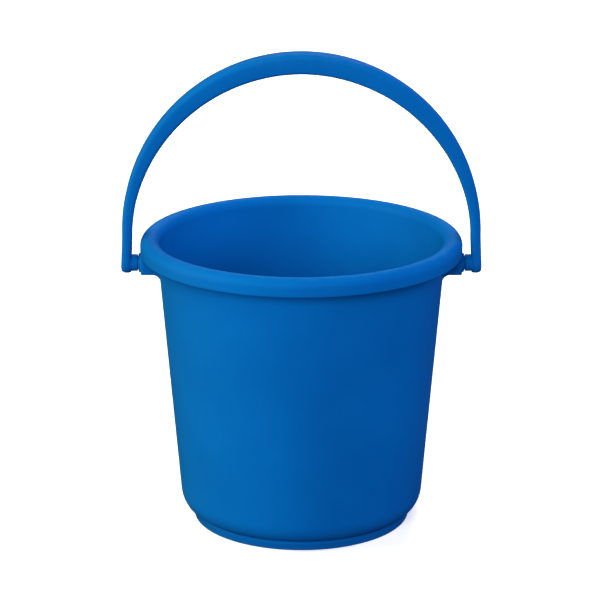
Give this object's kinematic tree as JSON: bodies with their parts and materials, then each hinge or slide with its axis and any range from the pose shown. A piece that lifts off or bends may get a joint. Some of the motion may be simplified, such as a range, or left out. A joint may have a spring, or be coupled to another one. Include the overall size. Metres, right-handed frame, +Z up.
{
  "type": "sand bucket",
  "caption": "Round tapered plastic bucket with a rolled rim, a foot ring and an arched bail handle that swings over the rim.",
  "frame": {"origin": "centre of the foot ring's underside, where the bucket stands", "axes": "+Z up along the bucket's axis; X along the bail's hinge, through both ears; Y is the way the bail swings"},
  "size_m": [0.269, 0.24, 0.3574],
  "materials": {
    "bucket_plastic": "satin injection-moulded polypropylene, plain blue",
    "handle_plastic": "satin injection-moulded polypropylene, plain blue"
  },
  "bodies": {
    "bucket": {"bucket_body": "bucket_plastic"},
    "handle": {"bail_handle": "handle_plastic"}
  },
  "joints": [
    {"name": "bail_swing", "type": "hinge", "parent": "bucket", "child": "handle", "pos_m": [0, 0, 0.198], "axis": [1, 0, 0], "range_deg": [-130, 130]}
  ]
}
